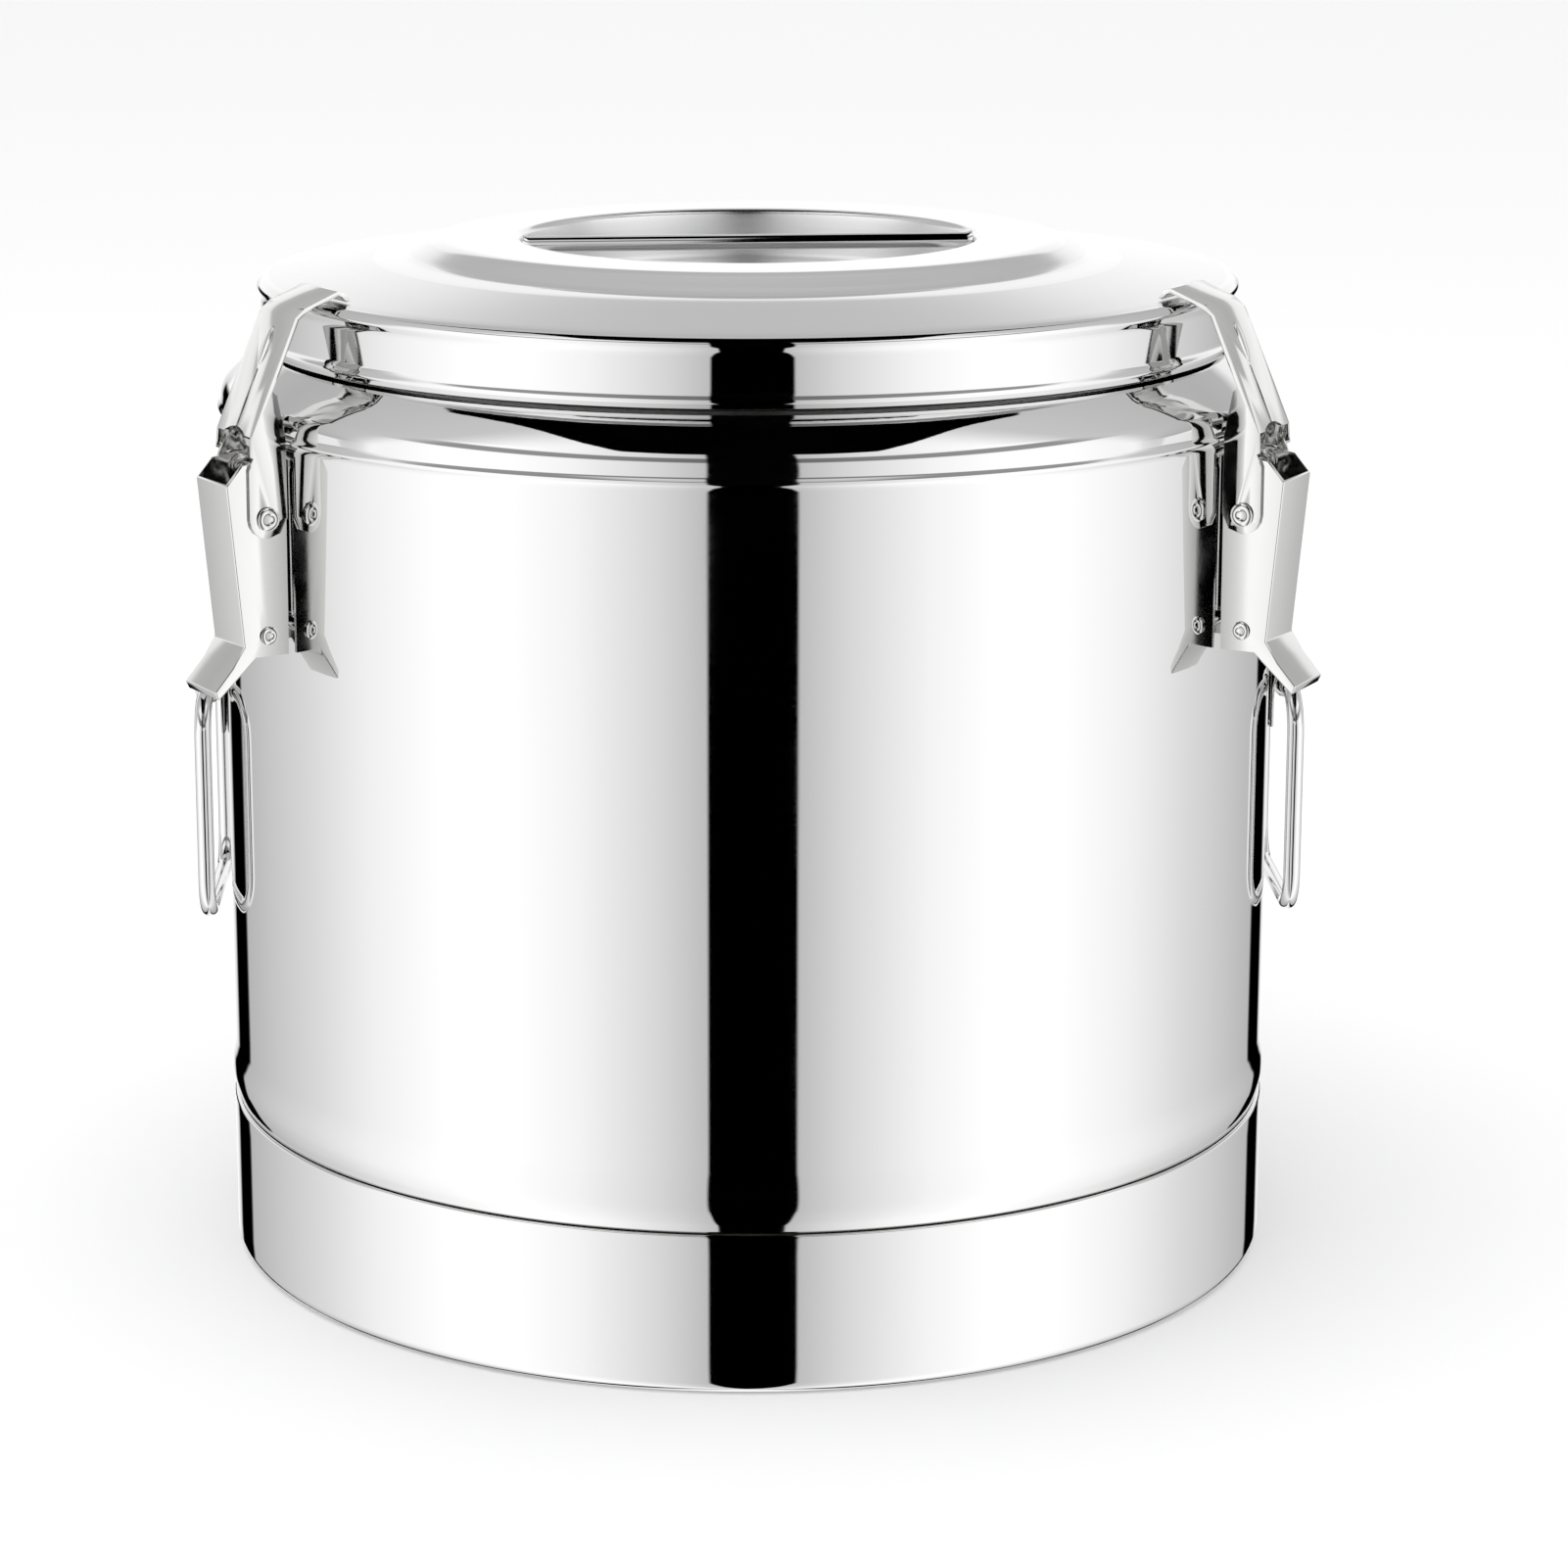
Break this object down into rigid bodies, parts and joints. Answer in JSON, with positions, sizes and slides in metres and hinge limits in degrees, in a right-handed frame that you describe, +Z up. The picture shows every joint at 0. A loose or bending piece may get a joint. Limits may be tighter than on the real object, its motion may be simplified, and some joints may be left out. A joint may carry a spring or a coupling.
{
  "type": "insulated milk can",
  "caption": "Insulated stainless-steel milk barrel with a stepped clamp-down lid, toggle latches and drop ring handles on a foot ring.",
  "frame": {"origin": "on the barrel's axis, at the underside of the flat closing floor it stands on", "axes": "+Z up along the barrel's axis; -Y is the front, midway between the two visible latches; +X and -X run through the ring handles"},
  "size_m": [0.4004, 0.4089, 0.367],
  "materials": {
    "polished_steel": "mirror-polished stainless steel",
    "pressed_steel": "pressed and tumble-polished stainless steel",
    "satin_steel": "satin-brushed stainless steel",
    "foam": "rigid polyurethane foam, matt",
    "silicone": "white food-grade silicone, matt"
  },
  "bodies": {
    "barrel": {"outer_shell": "polished_steel", "base_ring": "polished_steel", "base_floor": "satin_steel", "inner_pot": "satin_steel", "insulation": "foam", "latch_base_right": "pressed_steel", "lever_pin_right": "pressed_steel", "latch_base_rear": "pressed_steel", "lever_pin_rear": "pressed_steel", "latch_base_left": "pressed_steel", "lever_pin_left": "pressed_steel", "ring_clip_right": "pressed_steel", "ring_clip_left": "pressed_steel"},
    "lid": {"lid_shell": "polished_steel", "lid_liner": "satin_steel", "lid_foam": "foam", "lid_gasket": "silicone", "lid_grip_bar": "polished_steel"},
    "lever_right": {"latch_lever_right": "pressed_steel", "hook_pin_right": "pressed_steel", "cross_pin_right": "pressed_steel"},
    "hook_right": {"latch_hook_right": "pressed_steel"},
    "lever_rear": {"latch_lever_rear": "pressed_steel", "hook_pin_rear": "pressed_steel", "cross_pin_rear": "pressed_steel"},
    "hook_rear": {"latch_hook_rear": "pressed_steel"},
    "lever_left": {"latch_lever_left": "pressed_steel", "hook_pin_left": "pressed_steel", "cross_pin_left": "pressed_steel"},
    "hook_left": {"latch_hook_left": "pressed_steel"},
    "ring_right": {"carry_ring_right": "polished_steel"},
    "ring_left": {"carry_ring_left": "polished_steel"}
  },
  "joints": [
    {"name": "lid_lift", "type": "slide", "parent": "barrel", "child": "lid", "axis": [0, 0, 1], "range_m": [0, 0.032]},
    {"name": "lever_right_turn", "type": "hinge", "parent": "barrel", "child": "lever_right", "pos_m": [0.16931, -0.09775, 0.299], "axis": [-0.5, -0.866, 0], "range_deg": [0, 96]},
    {"name": "hook_right_turn", "type": "hinge", "parent": "lever_right", "child": "hook_right", "pos_m": [0.17139, -0.09895, 0.2843], "axis": [0.5, 0.866, 0], "range_deg": [0, 130]},
    {"name": "lever_rear_turn", "type": "hinge", "parent": "barrel", "child": "lever_rear", "pos_m": [0, 0.1955, 0.299], "axis": [1, 0, 0], "range_deg": [0, 96]},
    {"name": "hook_rear_turn", "type": "hinge", "parent": "lever_rear", "child": "hook_rear", "pos_m": [0, 0.1979, 0.2843], "axis": [-1, 0, 0], "range_deg": [0, 130]},
    {"name": "lever_left_turn", "type": "hinge", "parent": "barrel", "child": "lever_left", "pos_m": [-0.16931, -0.09775, 0.299], "axis": [-0.5, 0.866, 0], "range_deg": [0, 96]},
    {"name": "hook_left_turn", "type": "hinge", "parent": "lever_left", "child": "hook_left", "pos_m": [-0.17139, -0.09895, 0.2843], "axis": [0.5, -0.866, 0], "range_deg": [0, 130]},
    {"name": "ring_right_swing", "type": "hinge", "parent": "barrel", "child": "ring_right", "pos_m": [0.1952, 0, 0.205], "axis": [0, -1, 0], "range_deg": [0, 170]},
    {"name": "ring_left_swing", "type": "hinge", "parent": "barrel", "child": "ring_left", "pos_m": [-0.1952, 0, 0.205], "axis": [0, 1, 0], "range_deg": [0, 170]}
  ],
  "couplings": [
    {"joint": "lever_right_turn", "follows": "lid_lift", "rad_per_m": 51.814},
    {"joint": "hook_right_turn", "follows": "lid_lift", "rad_per_m": 69.95},
    {"joint": "lever_rear_turn", "follows": "lid_lift", "rad_per_m": 51.814},
    {"joint": "hook_rear_turn", "follows": "lid_lift", "rad_per_m": 69.95},
    {"joint": "lever_left_turn", "follows": "lid_lift", "rad_per_m": 51.814},
    {"joint": "hook_left_turn", "follows": "lid_lift", "rad_per_m": 69.95}
  ]
}
